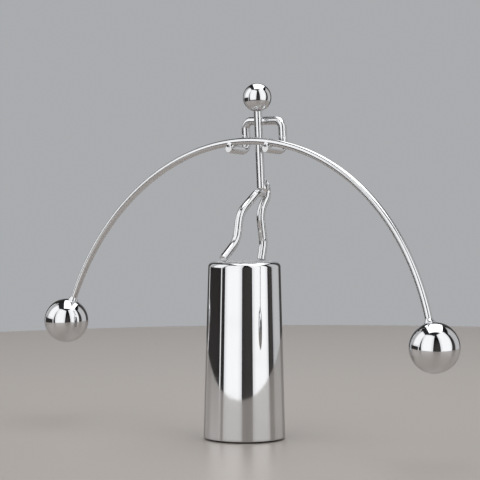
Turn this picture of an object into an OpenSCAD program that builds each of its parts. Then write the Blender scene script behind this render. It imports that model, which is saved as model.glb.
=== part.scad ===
// Counterweight balancing toy: a wire lifter holding a weighted bow, rocking on a tapered stand
// Millimetres, Z up, origin at the middle of the stand's underside, lifter facing -Y

/* [Stand] */
// Height of the stand from the table to its flat top
stand_h = 69; // [55:0.1:85]
// Outside diameter at the lower rim
stand_bottom_d = 32; // [31:0.1:40]
// Outside diameter at the top, before the shoulder is rounded
stand_top_d = 28.2; // [27:0.1:30]
// Radius of the rounded shoulder
shoulder_r = 2; // [1.5:0.1:2.6]
// Wall of the drawn shell
shell_wall = 1.2; // [0.8:0.1:1.4]
// Height of the iron slug inside
ballast_h = 40; // [20:1:48]
// Thickness of the plate that closes the shell
plate_t = 1.5; // [1:0.1:3]
// Thickness of the non-slip pad
pad_t = 1.5; // [1:0.1:2.5]
// How far the pad stands below the shell's rim
pad_proud = 0.5; // [0.3:0.1:0.8]

/* [Legs] */
// Diameter of the leg wire
leg_d = 3.25; // [2.8:0.05:3.6]
// Radius of the bends at knees and ankles, along the middle of the wire
leg_bend_r = 9; // [6:0.1:10]
// Radius of the bends at the hips, along the middle of the wire
hip_bend_r = 5; // [4:0.1:6]
// Height of the front leg's level upper end above the stand
hip_h = 26.8; // [25:0.1:30]
// How far behind the stand's axis the torso's lower end stands
hip_y = 9.9; // [9:0.1:10.5]
// Distance of the front toe from the edge of the stand's flat top
front_toe_inset = 0.7; // [0.4:0.1:3]
// Length of the front foot
front_foot_len = 10.4; // [9:0.1:12]
// Slope of the front foot below level
front_foot_slope = 40; // [34:1:46]
// Place of the front knee along the fore and aft line
front_knee_y = -2.7; // [-4.5:0.1:-2]
// Height of the front knee above the stand
front_knee_h = 19.0; // [17:0.1:20]
// Place where the front thigh turns level
front_hip_y = 7.6; // [6.6:0.1:8.2]
// Distance of the rear toe from the edge of the stand's flat top
rear_toe_inset = 0.5; // [0.3:0.1:2]
// Length of the rear foot
rear_foot_len = 6.4; // [5.5:0.1:8]
// Slope of the rear foot below level
rear_foot_slope = 78; // [70:1:82]
// Place of the rear knee along the fore and aft line
rear_knee_y = 9.2; // [8.6:0.1:10.2]
// Height of the rear knee above the stand
rear_knee_h = 19.3; // [17.5:0.1:20.5]
// How far the rear leg runs along the torso below the torso's end
rear_hip_drop = 3.4; // [3:0.1:4]
// How far the rear leg's tip reaches up the torso
rear_tip_rise = 3.9; // [3:0.1:6]
// Slope of the snipped end of the rear leg
rear_snip_slope = 57; // [40:1:65]

/* [Torso and head] */
// Diameter of the torso rod
torso_d = 3.2; // [2.8:0.05:3.6]
// Length of the torso rod
torso_len = 34.5; // [33:0.1:40]
// Forward lean of the torso
torso_lean = 3.8; // [0:0.1:6]
// Diameter of the head ball
head_d = 11.2; // [9:0.1:13]
// Depth of the hole in the head
head_socket = 4.5; // [3:0.1:6]

/* [Arms] */
// Diameter of the arm wire
arm_d = 3.25; // [2.8:0.05:3.6]
// Distance between the two arms, middle to middle
arm_span = 19; // [16:0.1:24]
// Height of the shoulders along the torso
shoulder_h = 26.3; // [25:0.1:27.5]
// Radius of the shoulder bends, along the middle of the wire
shoulder_bend_r = 3; // [2.2:0.1:4]
// Radius of the bends at the wrists, along the middle of the wire
wrist_bend_r = 2.6; // [2:0.1:2.9]
// Reach of the hands in front of the arms
hand_len = 11; // [10:0.1:12.5]
// Rise of the hands above square to the torso
hand_rise = 8; // [2:1:10]

/* [Bow and weights] */
// Diameter of the bow's rod
bow_d = 2.75; // [2.4:0.05:3.2]
// Radius of the bow, along the middle of the rod
bow_r = 96.7; // [85:0.1:110]
// Angle from the top of the bow to where it meets a ball
bow_half_angle = 71.6; // [60:0.1:76]
// Height of the bow's top along the torso
bow_h = 18.8; // [17.5:0.05:20]
// Clear space between the torso and the bow
bow_stand_off = 2.7; // [1:0.1:3.5]
// Forward swing of the bow's plane from the torso
bow_tip = 10.5; // [6:0.5:14]
// Depth of the saddle in each hand where the bow lies
saddle_depth = 0.5; // [0.2:0.05:0.7]
// Diameter of the ball weights
ball_d = 18.4; // [15:0.1:20]
// Depth of the hole in each ball
ball_socket = 7; // [5:0.1:7.3]

/* [Fits and joints] */
// Gap left for filler between two wires that are brazed
braze_gap = 0.05; // [0.02:0.01:0.1]
// Gap left for filler between the front leg's end and the rear leg's bend
hip_gap = 0.4; // [0.35:0.05:0.5]
// Radial gap of a rod end in a drilled ball
socket_gap = 0.03; // [0.01:0.01:0.06]
// How much a wire swells where it is bent
bend_swell = 0.02; // [0.02:0.01:0.06]
// How much the bow is turned down inside the balls
spigot_step = 0.04; // [0.02:0.01:0.2]
// Running gap under the toes
toe_gap = 0.2; // [0.15:0.05:0.3]
// Gap round the closing plate
plate_gap = 0.05; // [0.02:0.01:0.1]
// Gap round the pad
pad_gap = 0.3; // [0.1:0.1:0.6]
// Gap round the iron slug
ballast_gap = 0.2; // [0.1:0.05:0.4]
// Diameter of the braze bead behind the shoulders
shoulder_bead_d = 4.2; // [3.8:0.1:4.4]
// Diameter of the braze beads at the hip
hip_bead_d = 4.6; // [4:0.1:5]
// Diameter of the braze beads under the bow
hand_bead_d = 4; // [3.7:0.1:4.4]
// Width of the braze ring where the bow meets a ball
ball_bead_w = 0.75; // [0.5:0.05:1.2]

/* [Hidden] */
$fn = 64;

CHROME = "gainsboro";
BRAZE = "silver";

// Stand: the outer wall leans in from the rim to the top
rim_z = pad_proud;
plate_z = pad_t;
ballast_z = plate_z + plate_t;
wall_slope = atan((stand_bottom_d - stand_top_d) / 2 / (stand_h - rim_z));
cavity_round = shoulder_r - shell_wall;
ballast_round = 1.5;
function wall_r(z) = stand_bottom_d / 2 - (z - rim_z) * tan(wall_slope);
function cavity_r(z) = wall_r(z) - shell_wall / cos(wall_slope);
flat_r = wall_r(stand_h - shoulder_r) - shoulder_r / cos(wall_slope);

// Torso frame: its lower end rests on the level end of the front leg
hip_z = stand_h + hip_h;
torso_z = hip_z + leg_d / 2 + torso_d / 2 * sin(torso_lean) + braze_gap;
function torso_point(p) = [
    hip_y + p[0] * cos(torso_lean) - p[1] * sin(torso_lean),
    torso_z + p[0] * sin(torso_lean) + p[1] * cos(torso_lean)
];

// Wires at the torso: rear leg and arms against its back, bow clear of its front
rear_leg_y = (torso_d + leg_d) / 2 + braze_gap;
arm_y = (torso_d + arm_d) / 2 + braze_gap;
bow_y = -(torso_d + bow_d) / 2 - bow_stand_off;

// The bow's middle where it crosses a hand, in the torso frame
hand_x = arm_span / 2;
bow_sag = bow_r - sqrt(bow_r * bow_r - hand_x * hand_x);
bow_slope = asin(hand_x / bow_r);
crossing = [bow_y - bow_sag * sin(bow_tip), bow_h - bow_sag * cos(bow_tip)];

// The hand runs under the bow and meets the arm at the wrist
hand_below = ((bow_d + arm_d) / 2 + braze_gap - saddle_depth) / cos(bow_slope);
under_bow = crossing - hand_below * [sin(hand_rise), cos(hand_rise)];
wrist_z = under_bow[1] - (arm_y - under_bow[0]) * tan(hand_rise);
hand_tip = [arm_y - hand_len * cos(hand_rise), wrist_z + hand_len * sin(hand_rise)];
hand_seat = crossing - (bow_d + braze_gap) / 2 * [sin(hand_rise), cos(hand_rise)];

// Toes: the lowest point of each cut end stands on the flat top
function toe(contact_y, slope) = [
    contact_y - leg_d / 2 * sin(slope),
    stand_h + toe_gap + leg_d / 2 * cos(slope)
];
function up_the_foot(end, len, slope) = end + len * [cos(slope), sin(slope)];
front_toe = toe(front_toe_inset - flat_r, front_foot_slope);
front_ankle = up_the_foot(front_toe, front_foot_len, front_foot_slope);
front_knee = [front_knee_y, stand_h + front_knee_h];
rear_toe = toe(flat_r - rear_toe_inset, rear_foot_slope);
rear_ankle = up_the_foot(rear_toe, rear_foot_len, rear_foot_slope);
rear_knee = [rear_knee_y, stand_h + rear_knee_h];

// Bends of each leg, from the ankle up
leg_bends = [leg_bend_r, leg_bend_r, hip_bend_r];

// Upper ends of the legs
rear_hip = torso_point([rear_leg_y, -rear_hip_drop]);
rear_tip = torso_point([rear_leg_y, rear_tip_rise]);
rear_leg_face = (rear_leg_y - leg_d / 2) / cos(torso_lean);
front_end_y = hip_y + rear_leg_face - (hip_z - torso_z) * tan(torso_lean)
    - leg_d / 2 * tan(torso_lean) - hip_gap;

// Lap of a straight run into a bend, and of a spigot into the bow
bend_lap = 0.1;

// Bow: an arc that ends in straight spigots inside the balls
ball_r = ball_d / 2;
spigot_tip = ball_r - ball_socket;
socket_end = spigot_tip - socket_gap;
ball_x = bow_r * sin(bow_half_angle) + ball_r * cos(bow_half_angle);
ball_z = bow_r * (cos(bow_half_angle) - 1) - ball_r * sin(bow_half_angle);

// Vectors
function unit(v) = v / norm(v);
function turn(a, b, c) = acos(unit(b - a) * unit(c - b));
function in_plane(p) = [0, p[0], p[1]];

// Places children with their x and z axes along two given directions
module aim(origin, x_dir, z_dir) {
    y_dir = cross(z_dir, x_dir);
    multmatrix([
        [x_dir[0], y_dir[0], z_dir[0], origin[0]],
        [x_dir[1], y_dir[1], z_dir[1], origin[1]],
        [x_dir[2], y_dir[2], z_dir[2], origin[2]],
        [0, 0, 0, 1]
    ]) children();
}

// Any direction square to v
function square_to(v) = unit(abs(v[0]) < 0.9 ? cross(v, [1, 0, 0]) : cross(v, [0, 1, 0]));

// A wire bent through points, with a round bend at each inner point; the straights lap into the bends
module bent_wire(points, d, bend_r) {
    last = len(points) - 1;
    bends = [for (i = [1 : last - 1]) turn(points[i - 1], points[i], points[i + 1])];
    cuts = [for (i = [0 : last]) i == 0 || i == last ? 0 : bend_r[i - 1] * tan(bends[i - 1] / 2)];
    starts = [for (cut = cuts) cut == 0 ? 0 : cut - bend_lap];
    for (i = [0 : last - 1]) {
        along = unit(points[i + 1] - points[i]);
        run = norm(points[i + 1] - points[i]) - starts[i] - starts[i + 1];
        aim(points[i] + along * starts[i], square_to(along), along) cylinder(d = d, h = run);
    }
    for (i = [1 : last - 1]) {
        into = unit(points[i] - points[i - 1]);
        out = unit(points[i + 1] - points[i]);
        inward = unit(out - into);
        middle = points[i] + inward * bend_r[i - 1] / cos(bends[i - 1] / 2);
        start = points[i] - into * cuts[i];
        aim(middle, unit(start - middle), unit(cross(into, out)))
            rotate_extrude(angle = bends[i - 1]) translate([bend_r[i - 1], 0]) circle(d = d + bend_swell);
    }
}

// Half outline of the stand: a leaning wall with a rounded shoulder
module shoulder_profile(r_low, z_low, z_high, round_r) {
    round_z = z_high - round_r;
    round_x = r_low - (round_z - z_low) * tan(wall_slope) - round_r / cos(wall_slope);
    polygon([
        [0, z_low],
        [r_low, z_low],
        [round_x + round_r * cos(wall_slope), round_z + round_r * sin(wall_slope)],
        [round_x, z_high],
        [0, z_high]
    ]);
    translate([round_x, round_z]) circle(r = round_r);
}

module on_torso() {
    translate([0, hip_y, torso_z]) rotate([torso_lean, 0, 0]) children();
}

module on_bow() {
    on_torso() translate([0, bow_y, bow_h]) rotate([-bow_tip, 0, 0]) children();
}

// At a ball's middle, with z pointing up the bow's end; side is -1 for left and 1 for right
module on_ball(side) {
    on_bow() translate([side * ball_x, 0, ball_z]) rotate([0, side * (bow_half_angle - 90), 0]) children();
}

// The bow's arc with a rod of the given diameter
module bow_arc(d) {
    on_bow() translate([0, 0, -bow_r]) rotate([90, 0, 0]) rotate([0, 0, 90 - bow_half_angle])
        rotate_extrude(angle = 2 * bow_half_angle, $fn = 256) translate([bow_r, 0]) circle(d = d, $fn = 48);
}

module stand_shell() {
    color(CHROME) rotate_extrude($fn = 128) difference() {
        shoulder_profile(stand_bottom_d / 2, rim_z, stand_h, shoulder_r);
        shoulder_profile(cavity_r(rim_z), rim_z, stand_h - shell_wall, cavity_round);
    }
}

module stand_ballast() {
    foot_r = cavity_r(ballast_z) - ballast_gap;
    color("dimgray") rotate_extrude()
        shoulder_profile(foot_r, ballast_z, ballast_z + ballast_h, ballast_round);
}

module stand_plate() {
    color("darkgray") translate([0, 0, plate_z])
        cylinder(h = plate_t, r1 = cavity_r(plate_z) - plate_gap, r2 = cavity_r(ballast_z) - plate_gap);
}

module foot_pad() {
    color("black") cylinder(h = pad_t, r = cavity_r(pad_t) - pad_gap);
}

module torso_rod() {
    color(CHROME) on_torso() cylinder(d = torso_d, h = torso_len);
}

module head_ball() {
    color(CHROME) on_torso() difference() {
        translate([0, 0, torso_len - head_socket + head_d / 2]) sphere(d = head_d);
        translate([0, 0, torso_len - head_socket - head_d / 2])
            cylinder(d = torso_d + 2 * socket_gap, h = head_socket + head_d / 2 + socket_gap);
    }
}

// The bent arm wire before the saddles are cut
module arm_bend() {
    half = [[hand_x, hand_tip[0], hand_tip[1]], [hand_x, arm_y, wrist_z], [hand_x, arm_y, shoulder_h]];
    other = [for (i = [2 : -1 : 0]) [-half[i][0], half[i][1], half[i][2]]];
    bends = [wrist_bend_r, shoulder_bend_r, shoulder_bend_r, wrist_bend_r];
    on_torso() bent_wire(concat(half, other), arm_d, bends);
}

module arm_wire() {
    color(CHROME) difference() {
        arm_bend();
        bow_arc(bow_d + 2 * braze_gap);
    }
}

module front_leg() {
    points = [front_toe, front_ankle, front_knee, [front_hip_y, hip_z], [front_end_y, hip_z]];
    color(CHROME) bent_wire([for (p = points) in_plane(p)], leg_d, leg_bends);
}

module rear_leg() {
    points = [rear_toe, rear_ankle, rear_knee, rear_hip, rear_tip];
    color(CHROME) difference() {
        bent_wire([for (p = points) in_plane(p)], leg_d, leg_bends);
        on_torso() translate([-leg_d, rear_leg_y - leg_d / 2, rear_tip_rise])
            rotate([-rear_snip_slope, 0, 0]) translate([0, -leg_d, 0])
                cube([2 * leg_d, 4 * leg_d, 2 * leg_d]);
    }
}

// Filler behind the shoulders, between the torso and the arm wire
module shoulder_braze() {
    color(BRAZE) difference() {
        on_torso() translate([0, (torso_d + braze_gap) / 2, shoulder_h]) rotate([90, 0, 0])
            sphere(d = shoulder_bead_d);
        torso_rod();
        arm_wire();
    }
}

// Filler at the hip: one bead up the rear leg, one in the corner of the three wires
module hip_braze() {
    color(BRAZE) difference() {
        on_torso() union() {
            translate([0, (torso_d + braze_gap) / 2, hip_bead_d / 3]) sphere(d = hip_bead_d);
            translate([0, torso_d / 2, -leg_d / 4]) sphere(d = hip_bead_d);
        }
        torso_rod();
        front_leg();
        rear_leg();
    }
}

// Ring of filler round the saddle where the bow lies on a hand
module hand_braze(side) {
    color(BRAZE) difference() {
        on_torso() translate([side * hand_x, hand_seat[0], hand_seat[1]]) rotate([90, 0, 0])
            sphere(d = hand_bead_d);
        arm_bend();
        bow_arc(bow_d);
    }
}

module bow_bar() {
    color(CHROME) {
        bow_arc(bow_d);
        for (side = [-1, 1])
            on_ball(side) translate([0, 0, spigot_tip])
                cylinder(d = bow_d - spigot_step, h = ball_socket + bend_lap);
    }
}

module ball(side) {
    color(CHROME) on_ball(side) difference() {
        sphere(r = ball_r);
        translate([0, 0, socket_end]) cylinder(d = bow_d + 2 * socket_gap, h = ball_d);
    }
}

// Ring of filler round the bow where it goes into a ball
module ball_braze(side) {
    low_r = bow_d / 2 + ball_bead_w;
    high_r = bow_d / 2 + ball_bead_w / 3;
    ring_low = sqrt(ball_r * ball_r - low_r * low_r);
    color(BRAZE) on_ball(side) difference() {
        translate([0, 0, ring_low]) cylinder(h = ball_r + ball_bead_w - ring_low, r1 = low_r, r2 = high_r);
        sphere(r = ball_r);
        translate([0, 0, spigot_tip]) cylinder(d = bow_d + 2 * socket_gap, h = ball_d);
    }
}

stand_shell();
stand_ballast();
stand_plate();
foot_pad();
torso_rod();
head_ball();
arm_wire();
front_leg();
rear_leg();
shoulder_braze();
hip_braze();
hand_braze(-1);  // left_hand_braze
hand_braze(1);  // right_hand_braze
bow_bar();
ball(-1);  // left_ball
ball(1);  // right_ball
ball_braze(-1);  // left_ball_braze
ball_braze(1);  // right_ball_braze
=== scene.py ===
# %% [markdown]
# # A counterweight balancing toy in polished chrome
# The toy is a wire lifter that rocks on a weighted stand and holds an arched bow with a ball weight
# at each end. Its solids come packed with their joint, so this lesson gives them their looks: smooth
# mirror surfaces, hand-bent wire, filler at the seams, and a small studio for the mirrors to show.

import math

import bmesh
import bpy
from mathutils import Matrix, Vector, noise


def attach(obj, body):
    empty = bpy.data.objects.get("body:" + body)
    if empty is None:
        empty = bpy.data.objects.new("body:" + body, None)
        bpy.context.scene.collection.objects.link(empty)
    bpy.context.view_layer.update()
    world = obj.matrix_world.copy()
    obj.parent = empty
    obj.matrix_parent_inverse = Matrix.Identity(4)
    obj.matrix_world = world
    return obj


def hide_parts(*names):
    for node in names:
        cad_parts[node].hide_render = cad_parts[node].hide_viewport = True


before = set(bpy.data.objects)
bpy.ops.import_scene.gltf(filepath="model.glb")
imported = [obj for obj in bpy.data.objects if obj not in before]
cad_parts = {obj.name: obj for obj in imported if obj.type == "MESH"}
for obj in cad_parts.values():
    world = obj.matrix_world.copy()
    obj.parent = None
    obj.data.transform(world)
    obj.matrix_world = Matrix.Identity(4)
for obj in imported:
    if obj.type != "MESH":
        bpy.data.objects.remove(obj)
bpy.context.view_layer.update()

# %% [markdown]
# ## From a mesh in millimetres to a piece
# Drawings of such a toy are in millimetres, so each mesh is built in them and scaled to metres at the
# end. A mirror shows every facet, so all faces are smooth and only true corners stay sharp. Each piece
# then rides on its body and stands for the solid that it replaces.

# %% Finish a piece
MM = 0.001
MERGE = 0.0005
SHARP_CORNER = math.radians(35)


def smooth_faces(bm):
    """Smooths every face and keeps true corners sharp."""
    for face in bm.faces:
        face.smooth = True
    for edge in bm.edges:
        edge.smooth = edge.calc_face_angle(0.0) < SHARP_CORNER


def new_object(bm, name, material):
    """Turns a bmesh into an object at the origin."""
    mesh = bpy.data.meshes.new(name)
    bm.to_mesh(mesh)
    bm.free()
    mesh.materials.append(material)
    made = bpy.data.objects.new(name, mesh)
    bpy.context.scene.collection.objects.link(made)
    return made


def finish_piece(bm, name, body, slot, material, *nodes):
    """Closes seams, smooths, scales to metres, and puts the piece in place of its CAD nodes."""
    bmesh.ops.remove_doubles(bm, verts=bm.verts, dist=MERGE)
    bmesh.ops.recalc_face_normals(bm, faces=bm.faces)
    smooth_faces(bm)
    open_edges = sum(len(edge.link_faces) != 2 for edge in bm.edges)
    bmesh.ops.scale(bm, vec=(MM, MM, MM), verts=bm.verts)
    piece = new_object(bm, name, material)
    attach(piece, body)
    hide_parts(*nodes)
    print(f"{name}: {len(piece.data.polygons)} faces, {open_edges} open edges")


print("corners stay sharp above", round(math.degrees(SHARP_CORNER)), "degrees")

# %% [markdown]
# ## Writing a finish as sums
# A material is a net of nodes. Drawing each Math node by hand hides the idea, so a small class wraps a
# socket and turns Python's own arithmetic into Math nodes. The reflected forms let a plain number stand
# on either side of the sign.

# %% Shader maths
class Field:
    """A number or vector that varies over a surface. Arithmetic on a number adds Math nodes."""

    def __init__(self, finish, socket):
        self.finish = finish
        self.socket = socket

    def math(self, operation, first, second):
        return self.finish.node("ShaderNodeMath", {"operation": operation}, {0: first, 1: second})

    def __add__(self, other):
        return self.math("ADD", self, other)

    def __radd__(self, other):
        return self.math("ADD", other, self)

    def __sub__(self, other):
        return self.math("SUBTRACT", self, other)

    def __rsub__(self, other):
        return self.math("SUBTRACT", other, self)

    def __mul__(self, other):
        return self.math("MULTIPLY", self, other)

    def __rmul__(self, other):
        return self.math("MULTIPLY", other, self)


print("signs that a field knows:", [name for name in vars(Field) if name.startswith("__r")])

# %% [markdown]
# ## A material being made
# Every other node comes from one method, which takes the node's kind, its settings and its sockets. The
# methods after it give names to what metal needs often: noise of a given size, a soft step, a change of
# colour and a bump in micrometres.

# %% The finish class
class Finish:
    """A material being made."""

    def __init__(self, name):
        self.material = bpy.data.materials.new(name)
        self.material.use_nodes = True
        self.tree = self.material.node_tree
        self.tree.nodes.clear()

    def node(self, kind, settings=None, sockets=None, out=0):
        """Adds a node: its settings first, then values or links for its sockets."""
        made = self.tree.nodes.new(kind)
        for key, value in (settings or {}).items():
            setattr(made, key, value)
        for key, value in (sockets or {}).items():
            if isinstance(value, Field):
                self.tree.links.new(value.socket, made.inputs[key])
            else:
                made.inputs[key].default_value = value
        return Field(self, made.outputs[out]) if made.outputs else None

    def noise(self, size, detail=2.0, stretch=(1, 1, 1), turn=(0, 0, 0)):
        """Noise with features of a given size in metres, drawn out along an axis by a small stretch."""
        place = self.node("ShaderNodeTexCoord", out="Object")
        place = self.node("ShaderNodeMapping", {}, {"Vector": place, "Scale": stretch, "Rotation": turn})
        return self.node("ShaderNodeTexNoise", {}, {"Vector": place, "Scale": 1 / size, "Detail": detail})

    def over(self, field, low, high):
        """0 where a field is below low, 1 where it is above high, and a soft step between."""
        return self.node(
            "ShaderNodeMapRange", {"interpolation_type": "SMOOTHSTEP"},
            {"Value": field, "From Min": low, "From Max": high})

    def tint(self, factor, first, second):
        """Goes from one colour to another."""
        return self.node(
            "ShaderNodeMix", {"data_type": "RGBA"}, {0: factor, 6: (*first, 1), 7: (*second, 1)}, out=2)

    def bump(self, height):
        """Turns a height in micrometres into a surface normal."""
        return self.node(
            "ShaderNodeBump", {}, {"Height": height, "Strength": 1.0, "Distance": 1e-6}, out="Normal")

    def output(self, shader):
        """Makes a shader the material's surface."""
        self.node("ShaderNodeOutputMaterial", {}, {"Surface": shader})
        return self.material

    def surface(self, **sockets):
        """The usual shader, with socket names written with _ for a space."""
        named = {key.replace("_", " "): value for key, value in sockets.items()}
        return self.output(self.node("ShaderNodeBsdfPrincipled", {}, named))


print("a finish can add:", [name for name in vars(Finish) if not name.startswith("_")])

# %% [markdown]
# ## Chrome plating
# Chrome is a mirror, but a used one: the plating follows the waves of the metal below, a cloth leaves
# hairlines, and fingers leave a faint haze. Cut ends and dings are a little duller and the flat top under
# the toes is satin, and a point attribute named wear tells the shader where they are. The same recipe,
# with other numbers, makes the stand, the balls, the wire and the filler.

# %% Chrome finishes
CLEAN = (0.66, 0.665, 0.675)
HAZED = (0.6, 0.602, 0.605)
EDGE_TINT = (0.86, 0.86, 0.87, 1)
HAZE_SIZE = 0.014
DRAWN_LINES = {"size": 0.0004, "detail": 1.0, "stretch": (1, 1, 0.03)}
WIPED_LINES = {"size": 0.0005, "detail": 1.0, "stretch": (0.04, 1, 1), "turn": (0.3, 0.5, 0.2)}
WEAR_DULLS = 0.3
DULL_ROUGHENS = 0.05
WEAR_ROUGHENS = 0.35
LINE_ROUGHENS = 0.03


def chrome(name, rough, wave_size, wave_height, haze, hairline=0.0, drawn=1.0):
    """Mirror plating with waves in the metal below, hairlines from wiping, and a faint haze."""
    finish = Finish(name)
    wave = finish.noise(wave_size, detail=1.0, stretch=(1, 1, drawn))
    haze_patch = finish.over(finish.noise(HAZE_SIZE, detail=4.0), 0.46, 0.72)
    along = finish.over(finish.noise(**DRAWN_LINES), 0.66, 0.74)
    across = finish.over(finish.noise(**WIPED_LINES), 0.68, 0.76)
    lines = along + across
    wear = finish.node("ShaderNodeAttribute", {"attribute_name": "wear"}, out="Fac")
    dull = haze * haze_patch + WEAR_DULLS * wear
    return finish.surface(
        Base_Color=finish.tint(dull, CLEAN, HAZED),
        Roughness=rough + DULL_ROUGHENS * dull + WEAR_ROUGHENS * wear + LINE_ROUGHENS * lines,
        Metallic=1.0,
        Specular_Tint=EDGE_TINT,
        Normal=finish.bump(wave_height * wave - hairline * lines))


stand_chrome = chrome(
    "stand chrome", rough=0.04, wave_size=0.009, wave_height=9.0, haze=0.35, hairline=0.2, drawn=0.25)
ball_chrome = chrome(
    "ball chrome", rough=0.025, wave_size=0.008, wave_height=3.0, haze=0.3, hairline=0.2)
wire_chrome = chrome("wire chrome", rough=0.14, wave_size=0.004, wave_height=2.5, haze=0.4)
filler_chrome = chrome("plated filler", rough=0.12, wave_size=0.0016, wave_height=6.0, haze=0.6)
print("chrome finishes:", stand_chrome.name, ball_chrome.name, wire_chrome.name, filler_chrome.name)

# %% [markdown]
# ## A lathe
# Stand, pad and balls are round, and a lathe makes such forms: one outline is drawn, its corners are
# rounded with a vertex bevel, and a full spin turns it. A stack of cylinders would leave hard steps that
# a mirror can't hide.

# %% Lathe helpers
TURNS = 160


def outline(bm, points):
    """Joins points in the plane y = 0, given as radius and height, with edges."""
    verts = [bm.verts.new((r, 0, z)) for r, z in points]
    for first, second in zip(verts, verts[1:]):
        bm.edges.new((first, second))
    return verts


def round_corner(bm, vert, radius, segments):
    """Rounds one corner of an outline."""
    first, second = [edge.other_vert(vert).co - vert.co for edge in vert.link_edges]
    reach = radius / math.tan(first.angle(second) / 2)
    bmesh.ops.bevel(
        bm, geom=[vert], offset=reach, offset_type="OFFSET", segments=segments, profile=0.5,
        affect="VERTICES", material=-1)


def lathe(bm, turns=TURNS):
    """Spins everything in the mesh once round the Z axis."""
    bmesh.ops.spin(
        bm, geom=bm.verts[:] + bm.edges[:], cent=(0, 0, 0), axis=(0, 0, 1), dvec=(0, 0, 0),
        angle=2 * math.pi, steps=turns, use_merge=True, use_normal_flip=False, use_duplicate=False)


print("lathe:", TURNS, "steps a turn")

# %% [markdown]
# ## The stand
# The stand is a cup drawn from sheet: a leaning wall, a flat top and a rounded shoulder between them.
# One outline runs up the inside and down the outside, so the lathe gives the shell its true wall. A
# support point close to each rounding keeps the flat parts truly flat in the mirror. The toes have rubbed
# the flat top to satin, so it catches the light from above.

# %% Turn the stand
STAND_H = 69.0
RIM_Z = 0.5
FOOT_R = 16.0
TOP_R = 14.1
SHOULDER_R = 2.0
WALL = 1.2
RIM_EASE = 0.35
SUPPORT = 0.5
RIM_SUPPORT_Z = RIM_Z + 1
MIDDLE_Z = 35
LEAN_IN = math.atan((FOOT_R - TOP_R) / (STAND_H - RIM_Z))
SCUFF_R = 11.4
SCUFF = 1.2


def wall_r(z):
    """Outer radius of the leaning wall at a height."""
    return FOOT_R - (z - RIM_Z) * math.tan(LEAN_IN)


bm = bmesh.new()
scuffed = bm.verts.layers.float.new("wear")
in_r = WALL / math.cos(LEAN_IN)
ceiling = STAND_H - WALL
shoulder_low = STAND_H - SHOULDER_R - SUPPORT
shoulder_in = TOP_R - SHOULDER_R - SUPPORT
cup = outline(bm, [
    (0, ceiling),
    (wall_r(ceiling) - in_r, ceiling),
    (wall_r(RIM_Z) - in_r, RIM_Z),
    (FOOT_R, RIM_Z),
    (wall_r(RIM_SUPPORT_Z), RIM_SUPPORT_Z),
    (wall_r(MIDDLE_Z), MIDDLE_Z),
    (wall_r(shoulder_low), shoulder_low),
    (TOP_R, STAND_H),
    (shoulder_in, STAND_H),
    (SCUFF_R, STAND_H),
    (0, STAND_H)])
round_corner(bm, cup[1], SHOULDER_R - WALL, segments=6)
round_corner(bm, cup[3], RIM_EASE, segments=5)
round_corner(bm, cup[7], SHOULDER_R, segments=16)
for vert in cup[9:]:
    vert[scuffed] = SCUFF
lathe(bm)
finish_piece(bm, "drawn_stand", "stand", "stand_chrome", stand_chrome, "stand_shell")

# %% [markdown]
# ## The hidden pieces
# A steel plate and an iron slug are sealed inside the stand. They keep their solids and only get a
# finish, for anyone who opens the stand: sheet that was rolled one way, and a rough casting.

# %% Finish the slug and the plate
iron = Finish("rough cast iron")
grain = iron.noise(0.0011, detail=5.0)
ballast_iron = iron.surface(
    Base_Color=iron.tint(grain, (0.16, 0.16, 0.165), (0.3, 0.29, 0.28)),
    Roughness=0.55 + 0.3 * grain,
    Metallic=0.8,
    Normal=iron.bump(120.0 * grain))

steel = Finish("sheet steel")
rolled = steel.noise(0.0006, detail=3.0, stretch=(0.05, 1, 1))
plate_steel = steel.surface(
    Base_Color=steel.tint(rolled, (0.5, 0.5, 0.51), (0.66, 0.66, 0.67)),
    Roughness=0.3 + 0.2 * rolled,
    Metallic=1.0,
    Normal=steel.bump(6.0 * rolled))

for node, material in (("stand_ballast", ballast_iron), ("stand_plate", plate_steel)):
    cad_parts[node].data.materials.clear()
    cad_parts[node].data.materials.append(material)
    print(node, "is finished in", material.name)

# %% [markdown]
# ## The pad
# A foam rubber pad keeps the stand from sliding and shows as a thin dark line under the rim. It is a
# plain disc with eased edges, so the lathe makes it too.

# %% Turn the pad
PAD_T = 1.5
PAD_GAP = 0.3
PAD_EASE = 0.2
PAD_TURNS = 96
rubber = Finish("foam rubber")
cells = rubber.noise(0.0006, detail=3.0)
pad_rubber = rubber.surface(
    Base_Color=rubber.tint(cells, (0.02, 0.02, 0.021), (0.05, 0.05, 0.052)),
    Roughness=0.8 + 0.15 * cells,
    Normal=rubber.bump(90.0 * cells))

bm = bmesh.new()
pad_r = wall_r(PAD_T) - in_r - PAD_GAP
pad = outline(bm, [(0, 0), (pad_r, 0), (pad_r, PAD_T), (0, PAD_T)])
round_corner(bm, pad[1], PAD_EASE, segments=3)
round_corner(bm, pad[2], PAD_EASE, segments=3)
lathe(bm, PAD_TURNS)
finish_piece(bm, "foam_pad", "stand", "pad_rubber", pad_rubber, "foot_pad")

# %% [markdown]
# ## Bent wire
# Legs, arms and torso are cut from round wire and bent over a pin. The way to make them here is the
# same: a ring starts at the cut end, a straight run draws it along, and each bend spins it round the
# pin's axis. A spin with a step and no angle makes the straight runs, so one operator does both. A curve
# with a round profile would be quicker, but its bends would not be true arcs.

# %% Draw and bend a ring
SIDES = 40
RUN_STEP = 0.25
BEND_STEPS = 14


def draw_ring(bm, geom, steps, angle=0.0, axis=(0, 0, 1), centre=(0, 0, 0), step=(0, 0, 0)):
    """Spins or draws a ring on, and gives the ring where it ends."""
    return bmesh.ops.spin(
        bm, geom=geom, cent=centre, axis=axis, dvec=step, angle=angle, steps=steps,
        use_merge=False, use_normal_flip=False, use_duplicate=False)["geom_last"]


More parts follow.
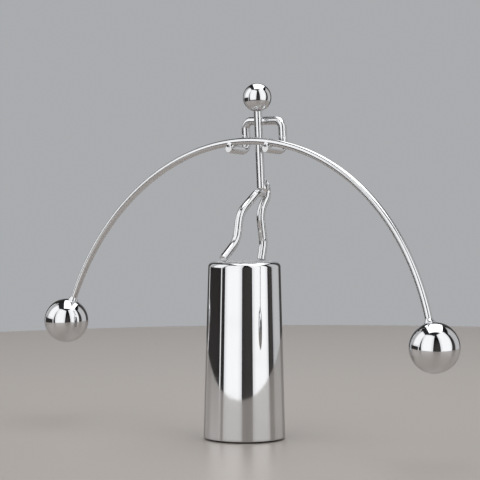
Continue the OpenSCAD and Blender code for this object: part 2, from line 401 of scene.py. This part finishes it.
def draw_straight(bm, ring, run):
    """Draws a ring along a straight run in short steps."""
    steps = max(1, round(run.length / RUN_STEP))
    return draw_ring(bm, ring, steps, step=run / steps)


def first_ring(bm, centre, along, radius):
    """A ring of vertices and edges square to a direction."""
    verts = bmesh.ops.create_circle(bm, segments=SIDES, radius=radius)["verts"]
    turned = along.to_track_quat("Z", "Y").to_matrix().to_4x4()
    bmesh.ops.transform(bm, matrix=Matrix.Translation(centre) @ turned, verts=verts)
    return verts + bm.edges[:]


def ring_edges(geom):
    """The edges among the parts that an operator gives back."""
    return [part for part in geom if isinstance(part, bmesh.types.BMEdge)]


def bent_wire(points, diameter, bend_r):
    """A wire through points with a round bend at each inner one. Gives the mesh and its two open ends."""
    bm = bmesh.new()
    bm.verts.layers.float.new("wear")
    ring = first_ring(bm, points[0], points[1] - points[0], diameter / 2)
    start_edges = ring_edges(ring)
    start = points[0]
    for before, corner, after, radius in zip(points, points[1:], points[2:], bend_r):
        into = (corner - before).normalized()
        out = (after - corner).normalized()
        turn = into.angle(out)
        cut = radius * math.tan(turn / 2)
        bend_start = corner - into * cut
        ring = draw_straight(bm, ring, bend_start - start)
        pin_axis = into.cross(out).normalized()
        pin = bend_start + pin_axis.cross(into) * radius
        ring = draw_ring(bm, ring, BEND_STEPS, angle=turn, axis=pin_axis, centre=pin)
        start = corner + out * cut
    ring = draw_straight(bm, ring, points[-1] - start)
    return bm, start_edges, ring_edges(ring)


print("wire:", SIDES, "sides, steps of", RUN_STEP, "mm")

# %% [markdown]
# ## Cut ends
# A cutter leaves a flat face with a rim that plating rounds off a little. Each open end is filled, its
# rim is bevelled, and a narrow inset keeps the middle of the cut face flat. The cut metal is a little
# duller, so it gets some wear.

# %% Close the ends of a wire
END_EASE = 0.16
CAP_RIM = 0.06
CUT_WEAR = 0.3
MOST_CORNERS = 8


def close_ends(bm, *rings):
    """Caps open rings, eases their rims, and keeps each cut face flat."""
    edges = [edge for ring in rings for edge in ring]
    for ring in rings:
        bmesh.ops.edgeloop_fill(bm, edges=ring)
    bmesh.ops.bevel(
        bm, geom=edges, offset=END_EASE, offset_type="OFFSET", segments=3, profile=0.5,
        affect="EDGES", material=-1)
    caps = [face for face in bm.faces if len(face.verts) > MOST_CORNERS]
    bmesh.ops.inset_region(bm, faces=caps, thickness=CAP_RIM)
    wear = bm.verts.layers.float["wear"]
    for face in caps:
        for vert in face.verts:
            vert[wear] = CUT_WEAR
    bmesh.ops.recalc_face_normals(bm, faces=bm.faces)


print("cut ends: rims eased by", END_EASE, "mm")

# %% [markdown]
# ## Marks of hand work
# A wire that was straightened by hand keeps slight waves, and the bending tool leaves dings. A bump in
# the material would not change the outline, so both move the vertices of the wire itself. Both only
# press inwards, so that no piece grows.

# %% Waves and dings
DING_WEAR = 0.7


def wavy(bm, amount, size, seed, keep_above=-math.inf):
    """Lets a straightened wire stay slightly uneven. What lies below a height keeps its shape."""
    bm.normal_update()
    shift = Vector((seed, 3 * seed, -seed))
    for vert in bm.verts:
        if vert.co.z > keep_above:
            vert.co -= vert.normal * amount * (0.5 + 0.5 * noise.noise(vert.co / size + shift))


def ding(bm, height, azimuth, reach, depth):
    """Presses a shallow mark into the side that faces an azimuth, at a height."""
    facing = Vector((math.sin(math.radians(azimuth)), -math.cos(math.radians(azimuth)), 0))
    near = [vert for vert in bm.verts if abs(vert.co.z - height) < RUN_STEP]
    middle = max(near, key=lambda vert: vert.co.dot(facing)).co.copy()
    wear = bm.verts.layers.float["wear"]
    bm.normal_update()
    for vert in bm.verts:
        share = (vert.co - middle).length / reach
        if share < 1:
            press = (1 - share * share) ** 2
            vert.co -= vert.normal * depth * press
            vert[wear] = max(vert[wear], DING_WEAR * press)


print("a ding's middle has a wear of", DING_WEAR)

# %% [markdown]
# ## The torso's frame
# The torso is a straight rod that leans forward a little, and head, arms and bow are placed along it.
# One matrix turns its drawing into the toy's own frame, so all of them lean with it.

# %% Place the torso
LEG_D = 3.25
TORSO_D = 3.2
TORSO_LEN = 34.5
TORSO_LEAN = math.radians(3.8)
BRAZE_GAP = 0.05
HIP_Y = 9.9
HIP_Z = STAND_H + 26.8
TORSO_Z = HIP_Z + LEG_D / 2 + TORSO_D / 2 * math.sin(TORSO_LEAN) + BRAZE_GAP
TORSO = Matrix.Translation((0, HIP_Y, TORSO_Z)) @ Matrix.Rotation(TORSO_LEAN, 4, "X")


def on_torso(x, y, z):
    """A point of the torso's drawing in the toy's frame."""
    return TORSO @ Vector((x, y, z))


bm, low_end, high_end = bent_wire([on_torso(0, 0, 0), on_torso(0, 0, TORSO_LEN)], TORSO_D, [])
close_ends(bm, low_end, high_end)
wavy(bm, amount=0.006, size=8.0, seed=2.0)
finish_piece(bm, "torso", "lifter", "wire_chrome", wire_chrome, "torso_rod")

# %% [markdown]
# ## The front leg
# Each leg is one wire with three bends that stands on the rim of its lower cut end. The front leg's
# upper end lies level under the torso. Its points are the corners that the wire would have without
# bends, so the bend radii alone decide how soft the knee looks.

# %% Bend the front leg
LEG_BENDS = [9.0, 9.0, 5.0]
LEG_WAVE = 0.016
LEG_WAVE_SIZE = 4.0
CALM_BELOW = STAND_H + 4
TOE_GAP = 0.2
FLAT_R = wall_r(STAND_H - SHOULDER_R) - SHOULDER_R / math.cos(LEAN_IN)
FRONT_SLOPE = math.radians(40)
FRONT_FOOT = 10.4
FRONT_INSET = 0.7
FRONT_KNEE = Vector((0, -2.7, STAND_H + 19.0))
FRONT_HIP = Vector((0, 7.6, HIP_Z))
REAR_LEG_Y = (TORSO_D + LEG_D) / 2 + BRAZE_GAP
HIP_GAP = 0.4

# Height, azimuth, reach and depth of each ding
FRONT_DINGS = (
    (86.3, -20, 0.65, 0.2),
    (79.2, -25, 0.6, 0.2),
    (81.5, 75, 0.6, 0.15),
    (92.0, 95, 0.6, 0.15),
    (88.6, 160, 0.7, 0.18),
    (77.2, 140, 0.6, 0.18))


def toe_point(contact_y, slope):
    """Middle of a cut end whose lowest rim point stands just above the stand."""
    rise = TOE_GAP + LEG_D / 2 * math.cos(slope)
    return Vector((0, contact_y - LEG_D / 2 * math.sin(slope), STAND_H + rise))


def up_the_foot(toe, length, slope):
    """The corner at the upper end of a foot."""
    return toe + length * Vector((0, math.cos(slope), math.sin(slope)))


front_toe = toe_point(FRONT_INSET - FLAT_R, FRONT_SLOPE)
front_ankle = up_the_foot(front_toe, FRONT_FOOT, FRONT_SLOPE)
rear_face = (REAR_LEG_Y - LEG_D / 2) / math.cos(TORSO_LEAN)
lean_back = (HIP_Z - TORSO_Z + LEG_D / 2) * math.tan(TORSO_LEAN)
front_end = Vector((0, HIP_Y + rear_face - lean_back - HIP_GAP, HIP_Z))
bm, toe_end, hip_end = bent_wire(
    [front_toe, front_ankle, FRONT_KNEE, FRONT_HIP, front_end], LEG_D, LEG_BENDS)
close_ends(bm, toe_end, hip_end)
for mark in FRONT_DINGS:
    ding(bm, *mark)
wavy(bm, LEG_WAVE, LEG_WAVE_SIZE, seed=5.0, keep_above=CALM_BELOW)
finish_piece(bm, "front_leg_wire", "lifter", "wire_chrome", wire_chrome, "front_leg")

# %% [markdown]
# ## The rear leg
# The rear leg's upper end was snipped aslant and lies along the torso's back. A slanting ring can't be
# drawn from the start, so the wire is drawn too long and a cutting plane takes the rest off.

# %% Bend and snip the rear leg
REAR_SLOPE = math.radians(78)
REAR_FOOT = 6.4
REAR_INSET = 0.5
REAR_KNEE = Vector((0, 9.2, STAND_H + 19.3))
REAR_HIP_DROP = 3.4
SNIP_SLOPE = math.radians(57)
SNIP_RISE = 3.9
SNIP_SPARE = 1
SNIP_MERGE = 0.0001
REAR_DINGS = (
    (90.2, 25, 0.65, 0.2),
    (80.4, 2, 0.65, 0.2),
    (77.2, 52, 0.6, 0.18),
    (96.4, 95, 0.6, 0.18),
    (84.5, 130, 0.6, 0.15),
    (87.5, 190, 0.7, 0.18))

rear_toe = toe_point(FLAT_R - REAR_INSET, REAR_SLOPE)
rear_ankle = up_the_foot(rear_toe, REAR_FOOT, REAR_SLOPE)
rear_hip = on_torso(0, REAR_LEG_Y, -REAR_HIP_DROP)
rear_tip = on_torso(0, REAR_LEG_Y, SNIP_RISE)
rear_spare = on_torso(0, REAR_LEG_Y, SNIP_RISE + SNIP_SPARE)
bm, toe_end, tip_end = bent_wire([rear_toe, rear_ankle, REAR_KNEE, rear_hip, rear_spare], LEG_D, LEG_BENDS)
snip = TORSO.to_3x3() @ Vector((0, math.sin(SNIP_SLOPE), math.cos(SNIP_SLOPE)))
snipped = bmesh.ops.bisect_plane(
    bm, geom=bm.verts[:] + bm.edges[:] + bm.faces[:], dist=SNIP_MERGE,
    plane_co=on_torso(0, REAR_LEG_Y - LEG_D / 2, SNIP_RISE), plane_no=snip, clear_outer=True)
close_ends(bm, toe_end, ring_edges(snipped["geom_cut"]))
for mark in REAR_DINGS:
    ding(bm, *mark)
wavy(bm, LEG_WAVE, LEG_WAVE_SIZE, seed=9.0, keep_above=CALM_BELOW)
finish_piece(bm, "rear_leg_wire", "lifter", "wire_chrome", wire_chrome, "rear_leg")

# %% [markdown]
# ## The head
# The head and the weights are steel balls, each drilled to take a rod's end. One vertex spun about the
# ball's middle draws the half circle, straight edges draw the hole, and a lathe turn closes both. A
# ready-made sphere would have no hole, and cutting one would spoil the mirror round its mouth.

# %% Turn the head
HEAD_R = 5.6
HEAD_SOCKET = 4.5
SOCKET_GAP = 0.03
ARC_STEPS = 72
BALL_TURNS = 112


def drilled_ball(radius, rod_r, socket):
    """A ball with a hole from above that takes a rod's end."""
    bm = bmesh.new()
    hole_r = rod_r + SOCKET_GAP
    hole_floor = radius - socket - SOCKET_GAP
    pole = bm.verts.new((0, 0, -radius))
    swing = math.pi - math.asin(hole_r / radius)
    arc_end = draw_ring(bm, [pole], ARC_STEPS, angle=swing, axis=(0, -1, 0))
    mouth = [part for part in arc_end if isinstance(part, bmesh.types.BMVert)][0]
    for place in ((hole_r, 0, hole_floor), (0, 0, hole_floor)):
        deeper = bm.verts.new(place)
        bm.edges.new((mouth, deeper))
        mouth = deeper
    lathe(bm, BALL_TURNS)
    return bm


bm = drilled_ball(HEAD_R, TORSO_D / 2, HEAD_SOCKET)
head_middle = Matrix.Translation((0, 0, TORSO_LEN - HEAD_SOCKET + HEAD_R))
upside_down = Matrix.Rotation(math.pi, 4, "X")
bmesh.ops.transform(bm, matrix=TORSO @ head_middle @ upside_down, verts=bm.verts)
finish_piece(bm, "head", "lifter", "ball_chrome", ball_chrome, "head_ball")

# %% [markdown]
# ## The bow
# The bow is a rod rolled to an arc. Its plane swings forward from the torso, so it gets a frame of its
# own with the top of the arc at the origin. A ring spun about the arc's middle makes it, and a straight
# run at each end goes into a ball.

# %% Roll the bow
BOW_D = 2.75
BOW_R = 96.7
BOW_HALF = math.radians(71.6)
BOW_SPIGOT = 6.9
BOW_STEPS = 240
BOW_H = 18.8
BOW_STAND_OFF = 2.7
BOW_TIP = math.radians(10.5)
bow_y = -(TORSO_D + BOW_D) / 2 - BOW_STAND_OFF
BOW = TORSO @ Matrix.Translation((0, bow_y, BOW_H)) @ Matrix.Rotation(-BOW_TIP, 4, "X")
BOW_MIDDLE = Vector((0, 0, -BOW_R))

bm = bmesh.new()
bm.verts.layers.float.new("wear")
uphill = Vector((math.cos(BOW_HALF), 0, math.sin(BOW_HALF)))
downhill = Vector((math.cos(BOW_HALF), 0, -math.sin(BOW_HALF)))
arc_start = BOW_MIDDLE + BOW_R * Vector((-math.sin(BOW_HALF), 0, math.cos(BOW_HALF)))
ring = first_ring(bm, arc_start - uphill * BOW_SPIGOT, uphill, BOW_D / 2)
left_end = ring_edges(ring)
ring = draw_straight(bm, ring, uphill * BOW_SPIGOT)
ring = draw_ring(bm, ring, BOW_STEPS, angle=2 * BOW_HALF, axis=(0, 1, 0), centre=BOW_MIDDLE)
ring = draw_straight(bm, ring, downhill * BOW_SPIGOT)
close_ends(bm, left_end, ring_edges(ring))
bmesh.ops.transform(bm, matrix=BOW, verts=bm.verts)
finish_piece(bm, "bow", "lifter", "wire_chrome", wire_chrome, "bow_bar")

# %% [markdown]
# ## The weights
# The two balls hang below the stand's top and keep the toy upright. They are drilled like the head, and
# each hole points along the end of the bow that it takes.

# %% Turn the weights
BALL_R = 9.2
BALL_SOCKET = 7.0
SIDE_WORDS = {-1: "left", 1: "right"}
ball_x = BOW_R * math.sin(BOW_HALF) + BALL_R * math.cos(BOW_HALF)
ball_z = BOW_R * (math.cos(BOW_HALF) - 1) - BALL_R * math.sin(BOW_HALF)
BALLS = {}
for side, word in SIDE_WORDS.items():
    turned = Matrix.Rotation(side * (BOW_HALF - math.pi / 2), 4, "Y")
    BALLS[side] = BOW @ Matrix.Translation((side * ball_x, 0, ball_z)) @ turned
    bm = drilled_ball(BALL_R, BOW_D / 2, BALL_SOCKET)
    bmesh.ops.transform(bm, matrix=BALLS[side], verts=bm.verts)
    finish_piece(bm, f"{word}_weight", "lifter", "ball_chrome", ball_chrome, f"{word}_ball")

# %% [markdown]
# ## Where the hands hold the bow
# Each hand rises a little towards its tip and lies under the bow, pressed in by the depth of a saddle.
# The bow's own arc gives the place where it crosses a hand, so the hands follow any change of the bow.

# %% Place the hands
ARM_D = 3.25
HAND_X = 9.5
HAND_LEN = 11.0
HAND_RISE = math.radians(8)
SADDLE = 0.5
arm_y = (TORSO_D + ARM_D) / 2 + BRAZE_GAP
bow_sag = BOW_R - math.sqrt(BOW_R ** 2 - HAND_X ** 2)
bow_slope = math.asin(HAND_X / BOW_R)
crossing_y = bow_y - bow_sag * math.sin(BOW_TIP)
crossing_z = BOW_H - bow_sag * math.cos(BOW_TIP)


def below_crossing(side, drop):
    """A point in a hand's plane, square below the bow in the torso's drawing."""
    return side * HAND_X, crossing_y - drop * math.sin(HAND_RISE), crossing_z - drop * math.cos(HAND_RISE)


hand_below = ((BOW_D + ARM_D) / 2 + BRAZE_GAP - SADDLE) / math.cos(bow_slope)
_, under_y, under_z = below_crossing(1, hand_below)
wrist_z = under_z - (arm_y - under_y) * math.tan(HAND_RISE)
hand_tip_y = arm_y - HAND_LEN * math.cos(HAND_RISE)
hand_tip_z = wrist_z + HAND_LEN * math.sin(HAND_RISE)
print("the bow crosses each hand", round(crossing_z, 1), "mm up the torso")

# %% [markdown]
# ## The arms
# One wire makes both arms: it runs behind the shoulders, turns down at each side, and turns forward to
# a hand. A Boolean cut for the saddles would leave a ragged edge in a mirror, so the wire's own vertices
# are pushed clear of the bow instead, as the press would do. The right shoulder got the deepest nick.

# %% Bend the arms
SHOULDER_H = 26.3
SHOULDER_BEND_R = 3.0
WRIST_BEND_R = 2.6
ARM_BENDS = [WRIST_BEND_R, SHOULDER_BEND_R, SHOULDER_BEND_R, WRIST_BEND_R]
ARM_DINGS = (
    (124.2, 75, 1.3, 0.26),
    (123.2, 124, 1.4, 0.7),
    (120.6, 95, 0.8, 0.16),
    (124.4, -80, 1.4, 0.2),
    (121.8, -95, 0.9, 0.14),
    (117.4, 60, 0.7, 0.14),
    (118.6, -20, 0.7, 0.14))


def off_the_bow(point):
    """Nearest point of the bow's middle line in the bow's frame, and the way from it to a point."""
    spoke = BOW.inverted() @ point - BOW_MIDDLE
    on_line = Vector((spoke.x, 0, spoke.z)).normalized() * BOW_R
    return on_line, spoke - on_line


def press_saddles(bm, clear):
    """Pushes every vertex that is too near the bow's middle line out to a distance."""
    for vert in bm.verts:
        on_line, off = off_the_bow(vert.co)
        if off.length < clear:
            vert.co = BOW @ (BOW_MIDDLE + on_line + off.normalized() * clear)


right_half = [(HAND_X, hand_tip_y, hand_tip_z), (HAND_X, arm_y, wrist_z), (HAND_X, arm_y, SHOULDER_H)]
left_half = [(-x, y, z) for x, y, z in reversed(right_half)]
arm_points = [on_torso(*place) for place in right_half + left_half]
bm, right_end, left_end = bent_wire(arm_points, ARM_D, ARM_BENDS)
close_ends(bm, right_end, left_end)
for mark in ARM_DINGS:
    ding(bm, *mark)
wavy(bm, amount=0.014, size=4.0, seed=13.0)
press_saddles(bm, BOW_D / 2 + BRAZE_GAP)
finish_piece(bm, "arms", "lifter", "wire_chrome", wire_chrome, "arm_wire")

# %% [markdown]
# ## Distances to the metal
# Where two wires meet, molten filler is drawn into the corner and leaves a hollow fillet. Distances say
# where that is: each rod, the bow and each ball gets a function for the distance to its surface, and the
# blend of two such distances is the fillet.

# %% Distances to rods, bow and balls
def rod_gap(start, end, radius):
    """Distance from a point to the surface of a square-cut rod."""
    along = end - start
    length = along.length

    def gap(point):
        share = (point - start).dot(along) / (length * length)
        aside = (point - start - along * share).length - radius
        beyond = (abs(share - 0.5) - 0.5) * length
        inside = min(max(aside, beyond), 0.0)
        return inside + math.hypot(max(aside, 0.0), max(beyond, 0.0))

    return gap


def bow_gap(point):
    """Distance from a point to the surface of the bow."""
    return off_the_bow(point)[1].length - BOW_D / 2


def ball_gap(side):
    """Distance to the surface of one weight."""
    middle = BALLS[side].translation
    return lambda point: (point - middle).length - BALL_R


def blended(first, second, width):
    """The smaller of two distances, with a fillet of some width between them."""
    near = max(width - abs(first - second), 0.0) / width
    return min(first, second) - near * near * width / 4


print("the bow lies", round(bow_gap(on_torso(0, 0, BOW_H)), 2), "mm from the torso's middle line")

# %% [markdown]
# ## Filler at the seams
# A ball of metal laid over a seam would look like a blob, so each vertex of a fine ball is pulled in
# along its ray until it meets the surface of the wires blended together. Away from the seam the filler
# sinks below the wires, and a little noise makes it look done by hand.

# %% Flow the filler
BALL_FINENESS = 5
RAY_HALVINGS = 15
LUMP = 0.07
LUMPS_PER_MM = 0.9
FULL_SHARE = 0.6
SINK = 2.4


def flow_filler(name, node, middle, gaps, reach, fillet, seed):
    """Lets filler run into the corner between the surfaces that the gaps describe."""
    bm = bmesh.new()
    bmesh.ops.create_icosphere(bm, subdivisions=BALL_FINENESS, radius=1.0)
    shift = Vector((seed, -seed, 2 * seed))
    full = FULL_SHARE * reach
    for vert in bm.verts:
        ray = vert.co.normalized()
        low = 0.0
        high = reach
        for _ in range(RAY_HALVINGS):
            far = (low + high) / 2
            point = middle + ray * far
            metal = gaps[0](point)
            for gap in gaps[1:]:
                metal = blended(metal, gap(point), fillet)
            metal += LUMP * noise.noise(point * LUMPS_PER_MM + shift)
            metal += SINK * max((far - full) / (reach - full), 0.0) ** 2
            if metal < 0:
                low = far
            else:
                high = far
        vert.co = middle + ray * low
    finish_piece(bm, name, "lifter", "plated_braze", filler_chrome, node)


print("filler: sinks under the wires beyond", FULL_SHARE, "of its reach")

# %% [markdown]
# ## Six seams
# Shoulders and hips join wires behind and under the torso, each hand holds the bow, and each ball takes
# one of its ends. The hips need the most filler, because three wires meet there.

# %% Fill the seams
THIGH_LEVEL = Vector((0, 2, 0))
HIP_SEAM_H = 0.2
SEAT_DROP = (BOW_D - SADDLE) / 2
torso_gap = rod_gap(on_torso(0, 0, 0), on_torso(0, 0, TORSO_LEN), TORSO_D / 2)
yoke_gap = rod_gap(on_torso(-HAND_X, arm_y, SHOULDER_H), on_torso(HAND_X, arm_y, SHOULDER_H), ARM_D / 2)
thigh_gap = rod_gap(FRONT_HIP - THIGH_LEVEL, front_end, LEG_D / 2)
rear_gap = rod_gap(rear_hip, rear_tip, LEG_D / 2)
flow_filler(
    "shoulder_filler", "shoulder_braze", on_torso(0, TORSO_D / 2, SHOULDER_H),
    [torso_gap, yoke_gap], reach=2.7, fillet=2.4, seed=1.0)
flow_filler(
    "hip_filler", "hip_braze", on_torso(0, TORSO_D / 2, HIP_SEAM_H),
    [torso_gap, thigh_gap, rear_gap], reach=3.1, fillet=2.6, seed=2.0)
for side, word in SIDE_WORDS.items():
    hand_tip = on_torso(side * HAND_X, hand_tip_y, hand_tip_z)
    wrist = on_torso(side * HAND_X, arm_y, wrist_z)
    flow_filler(
        f"{word}_hand_filler", f"{word}_hand_braze", on_torso(*below_crossing(side, SEAT_DROP)),
        [rod_gap(hand_tip, wrist, ARM_D / 2), bow_gap], reach=2.6, fillet=2.0, seed=4.0 + side)
    flow_filler(
        f"{word}_weight_filler", f"{word}_ball_braze", BALLS[side] @ Vector((0, 0, BALL_R)),
        [ball_gap(side), bow_gap], reach=2.9, fillet=2.2, seed=8.0 + side)

# %% [markdown]
# ## A floor for mirrors
# Chrome has almost no colour of its own: it shows the room. So the toy stands on a pale, satin, round
# floor with an eased edge. The floor is set back from the camera, because its front edge decides how
# high the floor's reflection reaches up the stand.

# %% Lay the floor
CAMERA_AZIMUTH = 41.4
FLOOR_R = 0.42
FLOOR_ASIDE = 0.05
FLOOR_BACK = 0.135
FLOOR_T = 0.02
FLOOR_TOP = -0.1 * MM
FLOOR_EASE = 0.006
FLOOR_COLOUR = (0.375, 0.342, 0.314, 1)
FLOOR_ROUGH = 0.35
STAGE_MERGE = 1e-6


def stage_object(bm, name, material, seen=True):
    """Makes a thing of the studio, which is no part of the toy."""
    bmesh.ops.remove_doubles(bm, verts=bm.verts, dist=STAGE_MERGE)
    smooth_faces(bm)
    made = new_object(bm, name, material)
    made.visible_camera = seen
    return made


floor_finish = Finish("pale satin floor").surface(Base_Color=FLOOR_COLOUR, Roughness=FLOOR_ROUGH)
bm = bmesh.new()
underside = FLOOR_TOP - FLOOR_T
disc = outline(bm, [(0, FLOOR_TOP), (FLOOR_R, FLOOR_TOP), (FLOOR_R, underside), (0, underside)])
round_corner(bm, disc[1], FLOOR_EASE, segments=6)
lathe(bm)
bmesh.ops.recalc_face_normals(bm, faces=bm.faces)
towards_camera = Matrix.Rotation(math.radians(CAMERA_AZIMUTH), 4, "Z")
set_back = Matrix.Translation((FLOOR_ASIDE, FLOOR_BACK, 0))
bmesh.ops.transform(bm, matrix=towards_camera @ set_back, verts=bm.verts)
stage_object(bm, "floor", floor_finish)
print("floor across:", 2 * FLOOR_R, "m")

# %% [markdown]
# ## A plain wall
# A grey wall stands round the whole place, turned on the lathe with a rounded corner below. Lit by the
# boxes it would be uneven, so the camera and the mirrors see its even colour, and that colour adds no
# light to anything else.

# %% Raise the wall
WALL_COLOUR = (0.4, 0.41, 0.425, 1)
ROOM_R = 2.4
ROOM_LOW = -0.6
ROOM_HIGH = 1.0
ROOM_CORNER = 0.3

wall = Finish("plain grey wall")
seen_ray = (wall.node("ShaderNodeLightPath", out="Is Camera Ray")
            + wall.node("ShaderNodeLightPath", out="Is Glossy Ray")
            + wall.node("ShaderNodeLightPath", out="Is Transmission Ray"))
plain = wall.node("ShaderNodeBsdfDiffuse", {}, {"Color": WALL_COLOUR})
even = wall.node("ShaderNodeEmission", {}, {"Color": WALL_COLOUR, "Strength": 1.0})
wall_finish = wall.output(wall.node("ShaderNodeMixShader", {}, {0: seen_ray, 1: plain, 2: even}))
bm = bmesh.new()
room = outline(bm, [(0, ROOM_LOW), (ROOM_R, ROOM_LOW), (ROOM_R, ROOM_HIGH)])
round_corner(bm, room[1], ROOM_CORNER, segments=8)
lathe(bm)
stage_object(bm, "wall", wall_finish)
print("wall at", ROOM_R, "m")

# %% [markdown]
# ## Soft boxes
# A shiny object is lit with large panels, because the mirrors show the lights themselves. Each panel
# shines to one side only and is a little weaker towards its edges. Panels are kept out of the camera's
# own sight, because the other views look through the places where they hang.

# %% Panels that shine to one side
BOX_EDGE = (0.74, 0.745, 0.76)
BOX_MIDDLE = (1.0, 1.0, 1.0)
CLOTH_COLOUR = (0.2, 0.185, 0.175, 1)


def box_finish(name, strength):
    """Light from one side of a panel, a little weaker towards its edges, and dark cloth behind."""
    finish = Finish(name)
    place = finish.node("ShaderNodeUVMap", {"uv_map": "panel"})
    across = finish.node("ShaderNodeSeparateXYZ", {}, {0: place}, out="X")
    up = finish.node("ShaderNodeSeparateXYZ", {}, {0: place}, out="Y")
    glow = finish.over(4 * across * (1 - across), 0.0, 0.8) * finish.over(4 * up * (1 - up), 0.0, 0.5)
    shine = finish.node(
        "ShaderNodeEmission", {}, {"Color": finish.tint(glow, BOX_EDGE, BOX_MIDDLE), "Strength": strength})
    dark = finish.node("ShaderNodeBsdfDiffuse", {}, {"Color": CLOTH_COLOUR})
    behind = finish.node("ShaderNodeNewGeometry", out="Backfacing")
    return finish.output(finish.node("ShaderNodeMixShader", {}, {0: behind, 1: shine, 2: dark}))


def hang_panel(name, width, height, matrix, strength):
    """A panel that shines to one side, out of the camera's own sight."""
    bm = bmesh.new()
    bm.loops.layers.uv.new("panel")
    bmesh.ops.create_grid(bm, x_segments=1, y_segments=1, size=0.5, calc_uvs=True)
    bmesh.ops.scale(bm, vec=(width, height, 1), verts=bm.verts)
    bmesh.ops.transform(bm, matrix=matrix, verts=bm.verts)
    return stage_object(bm, name, box_finish(name, strength), seen=False)


def soft_box(name, azimuth, away, width, low, height, lean, strength):
    """A standing panel at an azimuth from the camera, its top leaning towards the toy."""
    stood = Matrix.Rotation(-math.pi / 2, 4, "X")
    lifted = Matrix.Translation((0, 0, height / 2))
    leaned = Matrix.Rotation(-math.radians(lean), 4, "X")
    away_from = Matrix.Translation((0, -away, low))
    turned = Matrix.Rotation(math.radians(CAMERA_AZIMUTH + azimuth), 4, "Z")
    hang_panel(name, width, height, turned @ away_from @ leaned @ lifted @ stood, strength)


print("a panel's edge shines at", BOX_EDGE[0], "of its middle")

# %% [markdown]
# ## Places of the panels
# Their places round the toy decide the stripes on the stand: two large boxes beside the camera with a
# dark gap between, a box and a thin strip at the left, weaker boards farther round at both sides, a strip
# behind, and a stronger box overhead that reaches back over the toy. A last panel, high up, fills the
# floor with soft light and isn't shown by the mirrors.

# %% Hang the panels
BOX_LIGHT = 1.4
OVERHEAD_LIGHT = 2.8
FILL_LIGHT = 1.2
OVERHEAD_WIDTH = 0.565
OVERHEAD_DEPTH = 0.9
OVERHEAD_PLACE = (0.1, 0.25, 0.7)
FILL_SIZE = 1.2
FILL_PLACE = (0, 0, 1.1)

# Name, azimuth from the camera, distance, width, lower edge, height, lean, share of the light
STANDING = (
    ("front left box", -35, 1.0, 0.99, -0.25, 1.6, 10, 1.0),
    ("front right box", 50, 1.0, 0.92, -0.25, 1.7, 12, 1.0),
    ("left box", -93, 0.9, 0.74, 0.12, 1.05, 10, 1.0),
    ("right board", 116, 1.0, 0.74, -0.25, 1.2, 5, 0.5),
    ("left strip", -76, 0.85, 0.06, -0.25, 0.45, 0, 0.8),
    ("left rear board", -127, 0.95, 0.36, 0.1, 0.9, 8, 0.45),
    ("back left strip", -140, 1.0, 0.07, -0.25, 1.0, 0, 1.0))

for *place, share in STANDING:
    soft_box(*place, share * BOX_LIGHT)
faced_down = Matrix.Rotation(math.pi, 4, "X")
overhead = towards_camera @ Matrix.Translation(OVERHEAD_PLACE) @ faced_down
hang_panel("overhead box", OVERHEAD_WIDTH, OVERHEAD_DEPTH, overhead, OVERHEAD_LIGHT)
high_up = Matrix.Translation(FILL_PLACE) @ faced_down
fill = hang_panel("fill panel", FILL_SIZE, FILL_SIZE, high_up, FILL_LIGHT)
fill.visible_glossy = False
print("standing panels:", [place[0] for place in STANDING])

# %% [markdown]
# ## Dark cloth
# Bright panels alone would make chrome look like white paint. Dark cloth hangs in the gaps between them,
# so that the mirrors get black edges. It is one upright edge spun round the toy, open only behind it, and
# the camera doesn't see it. The rest of the room is dim.

# %% Hang the cloth
CLOTH_R = 1.35
CLOTH_REACH = 165
CLOTH_HIGH = 2.0
CLOTH_STEPS = 60
CLOTH_ROUGH = 0.9
DIM_ROOM = (0.03, 0.03, 0.033, 1)

cloth_finish = Finish("dark cloth").surface(Base_Color=CLOTH_COLOUR, Roughness=CLOTH_ROUGH)
bm = bmesh.new()
outline(bm, [(0, ROOM_LOW), (0, CLOTH_HIGH)])
cloth_start = Matrix.Rotation(math.radians(CAMERA_AZIMUTH - CLOTH_REACH), 4, "Z")
bmesh.ops.transform(bm, matrix=cloth_start @ Matrix.Translation((0, -CLOTH_R, 0)), verts=bm.verts)
draw_ring(bm, bm.verts[:] + bm.edges[:], CLOTH_STEPS, angle=math.radians(2 * CLOTH_REACH))
stage_object(bm, "dark cloth", cloth_finish, seen=False)

world = bpy.data.worlds.new("dim room")
world.use_nodes = True
world.node_tree.nodes["Background"].inputs["Color"].default_value = DIM_ROOM
bpy.context.scene.world = world
print("cloth reaches", CLOTH_REACH, "degrees to each side of the camera")

# %% [markdown]
# ## The camera
# The picture's own perspective gave the camera's place: about 0.73 m from the stand, a little above the
# hips, looking slightly down. A long lens keeps the stand's sides nearly parallel.

# %% Set the camera
IMAGE_SIZE = 480
FOCAL_PX = 1870
SENSOR = 36.0
CAMERA_AWAY = 0.728
CAMERA_ASIDE = -0.00172
CAMERA_Z = 0.1031
CAMERA_DOWN = 0.0352

lens = bpy.data.cameras.new("camera")
lens.sensor_width = SENSOR
lens.lens = SENSOR * FOCAL_PX / IMAGE_SIZE
camera = bpy.data.objects.new("camera", lens)
bpy.context.scene.collection.objects.link(camera)
turn = math.radians(CAMERA_AZIMUTH)
ahead = Vector((-math.sin(turn), math.cos(turn), 0))
aside = Vector((math.cos(turn), math.sin(turn), 0))
camera.location = aside * CAMERA_ASIDE - ahead * CAMERA_AWAY + Vector((0, 0, CAMERA_Z))
sight = ahead * math.cos(CAMERA_DOWN) - Vector((0, 0, math.sin(CAMERA_DOWN)))
camera.rotation_mode = "QUATERNION"
camera.rotation_quaternion = sight.to_track_quat("-Z", "Y")
bpy.context.scene.camera = camera
bpy.context.scene.view_settings.view_transform = "Standard"
print("camera at", [round(x, 3) for x in camera.location], "lens", round(lens.lens, 1), "mm")

# %% [markdown]
# ## The end
# The looks must not change the toy's size.
